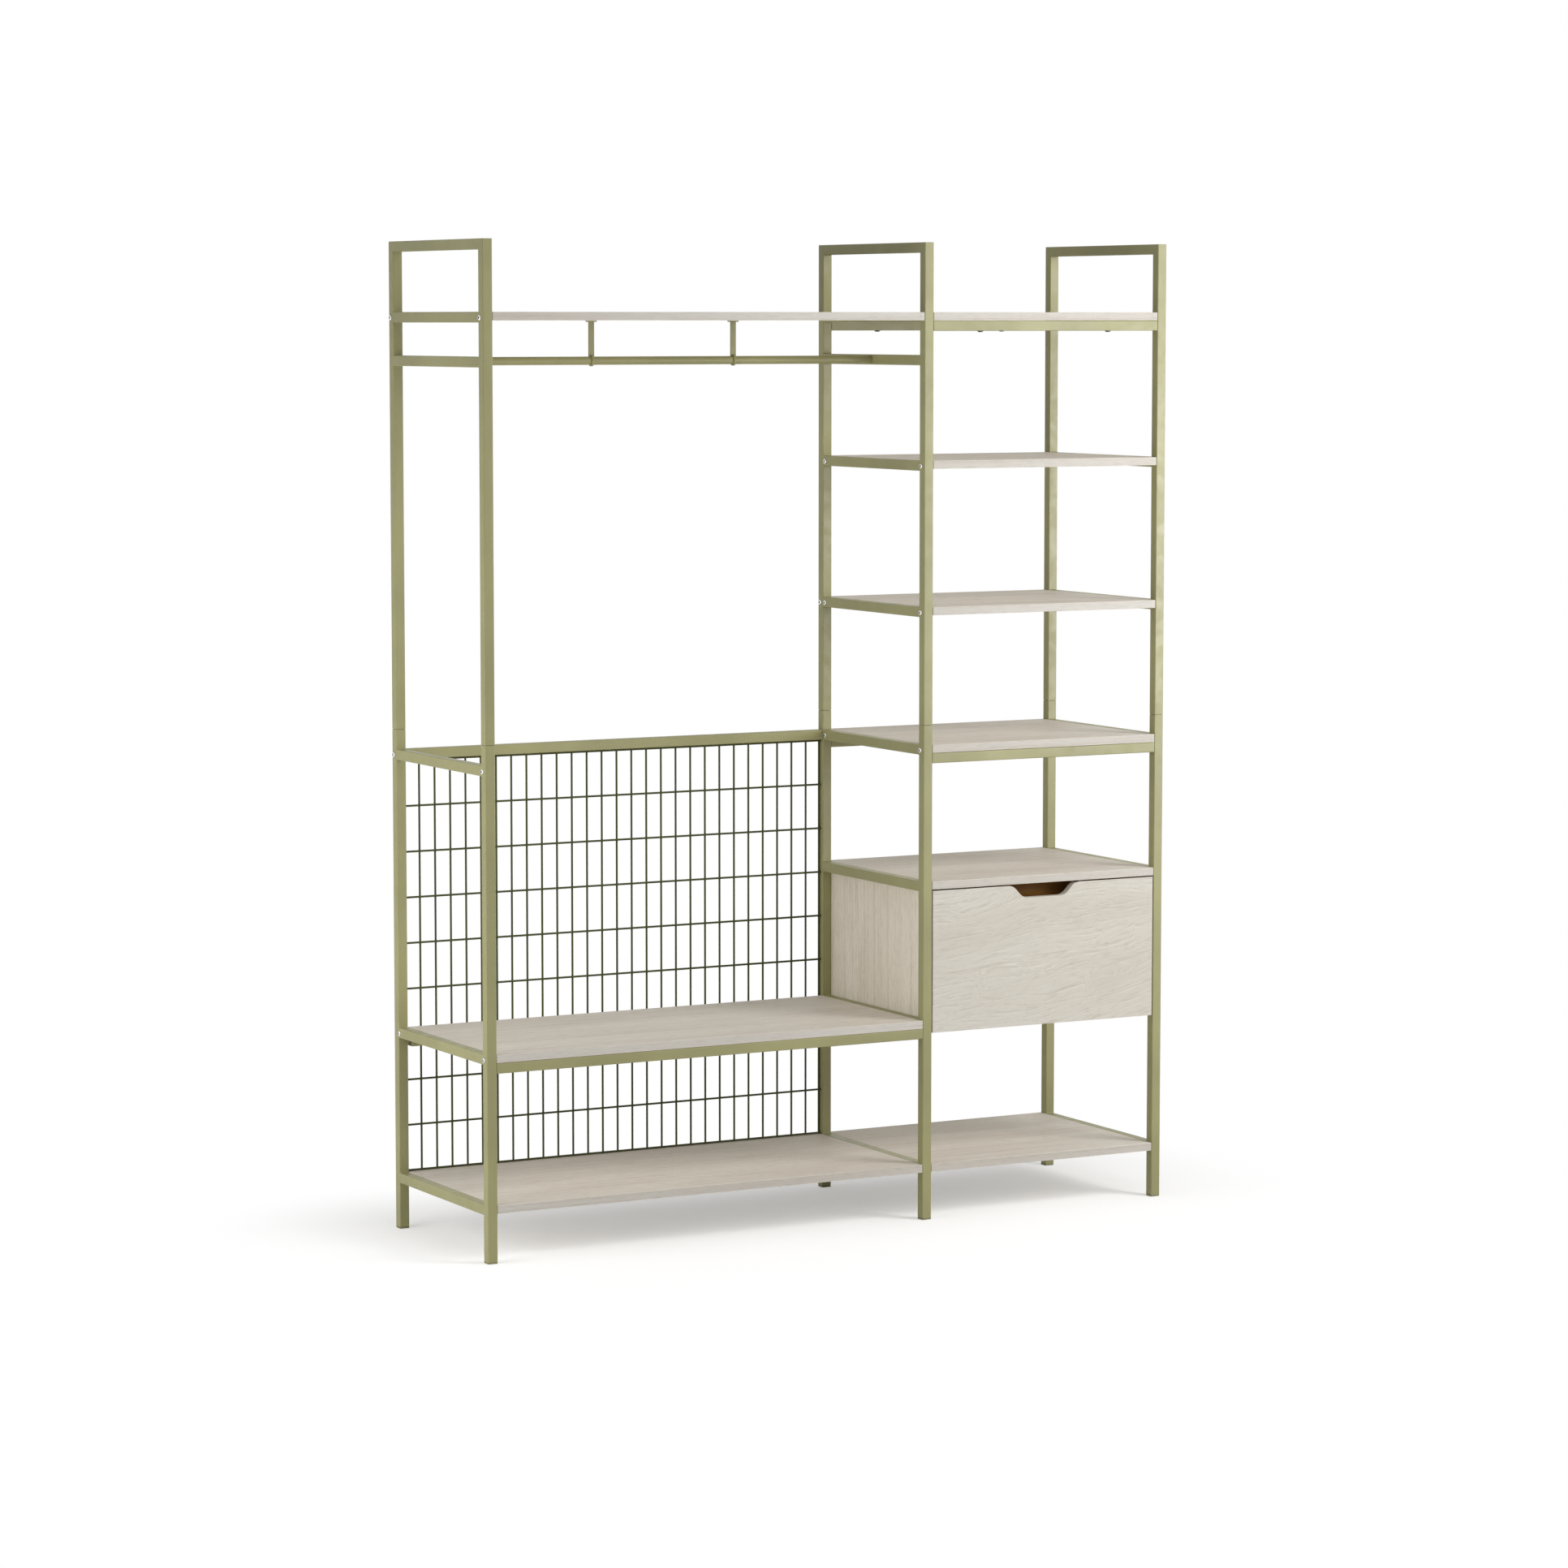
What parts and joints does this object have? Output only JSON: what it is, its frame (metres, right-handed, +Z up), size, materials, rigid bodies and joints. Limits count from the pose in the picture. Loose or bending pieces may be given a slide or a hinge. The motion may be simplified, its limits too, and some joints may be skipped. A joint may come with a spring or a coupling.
{
  "type": "open frame wardrobe",
  "caption": "Open wardrobe of square steel frames with oak boards, a bench, a wire mesh back, a clothes rail on hangers and a drawer on telescopic runners.",
  "frame": {"origin": "on the floor, under the middle of the wardrobe's width and depth", "axes": "+X to the right seen from the front, the front faces -Y, +Z up"},
  "size_m": [1.5054, 0.428, 1.92],
  "materials": {
    "frame_paint": "satin sage green powder coat",
    "board_oak": "whitewashed oak grain along the board",
    "housing_oak": "whitewashed oak with upright grain",
    "front_oak": "whitewashed oak with flowing grain across the front",
    "drawer_oak": "whitewashed oak grain",
    "runner_steel": "zinc plated",
    "bolt_steel": "nickel plated",
    "foot_plastic": "moulded"
  },
  "bodies": {
    "frame": {"bench_board": "board_oak", "bench_rail_back": "frame_paint", "bench_rail_front": "frame_paint", "bolt_left_bench_back": "bolt_steel", "bolt_left_bench_front": "bolt_steel", "bolt_left_lower_back": "bolt_steel", "bolt_left_lower_front": "bolt_steel", "bolt_left_top_back": "bolt_steel", "bolt_left_top_front": "bolt_steel", "bolt_middle_lower_back": "bolt_steel", "bolt_middle_lower_front": "bolt_steel", "bolt_middle_middle_back": "bolt_steel", "bolt_middle_middle_front": "bolt_steel", "bolt_middle_middle_post": "bolt_steel", "bolt_middle_upper_back": "bolt_steel", "bolt_middle_upper_front": "bolt_steel", "bolt_right_top_back": "bolt_steel", "bolt_right_top_front": "bolt_steel", "bottom_board_left": "board_oak", "bottom_board_right": "board_oak", "clothes_rail": "frame_paint", "drawer_housing_left": "housing_oak", "drawer_housing_right": "housing_oak", "drawer_top_board": "board_oak", "foot_left_back": "foot_plastic", "foot_left_front": "foot_plastic", "foot_middle_back": "foot_plastic", "foot_middle_front": "foot_plastic", "foot_right_back": "foot_plastic", "foot_right_front": "foot_plastic", "left_frame_lower": "frame_paint", "left_frame_upper": "frame_paint", "lower_rail_back": "frame_paint", "lower_rail_front": "frame_paint", "lower_shelf": "board_oak", "mesh_panel": "frame_paint", "mesh_rail": "frame_paint", "middle_frame_lower": "frame_paint", "middle_frame_upper": "frame_paint", "middle_shelf": "board_oak", "rail_hanger_1": "frame_paint", "rail_hanger_2": "frame_paint", "right_frame_lower": "frame_paint", "right_frame_upper": "frame_paint", "runner_outer_left": "runner_steel", "runner_outer_right": "runner_steel", "top_board_left": "board_oak", "top_board_right": "board_oak", "top_rail_back": "frame_paint", "top_rail_front": "frame_paint", "upper_shelf": "board_oak"},
    "drawer": {"drawer_front": "front_oak", "drawer_side_left": "drawer_oak", "drawer_side_right": "drawer_oak", "drawer_back": "drawer_oak", "drawer_bottom": "drawer_oak", "runner_inner_left": "runner_steel", "runner_inner_right": "runner_steel"},
    "runner_middles": {"runner_middle_left": "runner_steel", "runner_middle_right": "runner_steel"}
  },
  "joints": [
    {"name": "drawer_slide", "type": "slide", "parent": "frame", "child": "drawer", "axis": [0, -1, 0], "range_m": [0, 0.33]},
    {"name": "runner_slide", "type": "slide", "parent": "frame", "child": "runner_middles", "axis": [0, -1, 0], "range_m": [0, 0.165]}
  ],
  "couplings": [
    {"joint": "runner_slide", "follows": "drawer_slide", "ratio": 0.5}
  ]
}
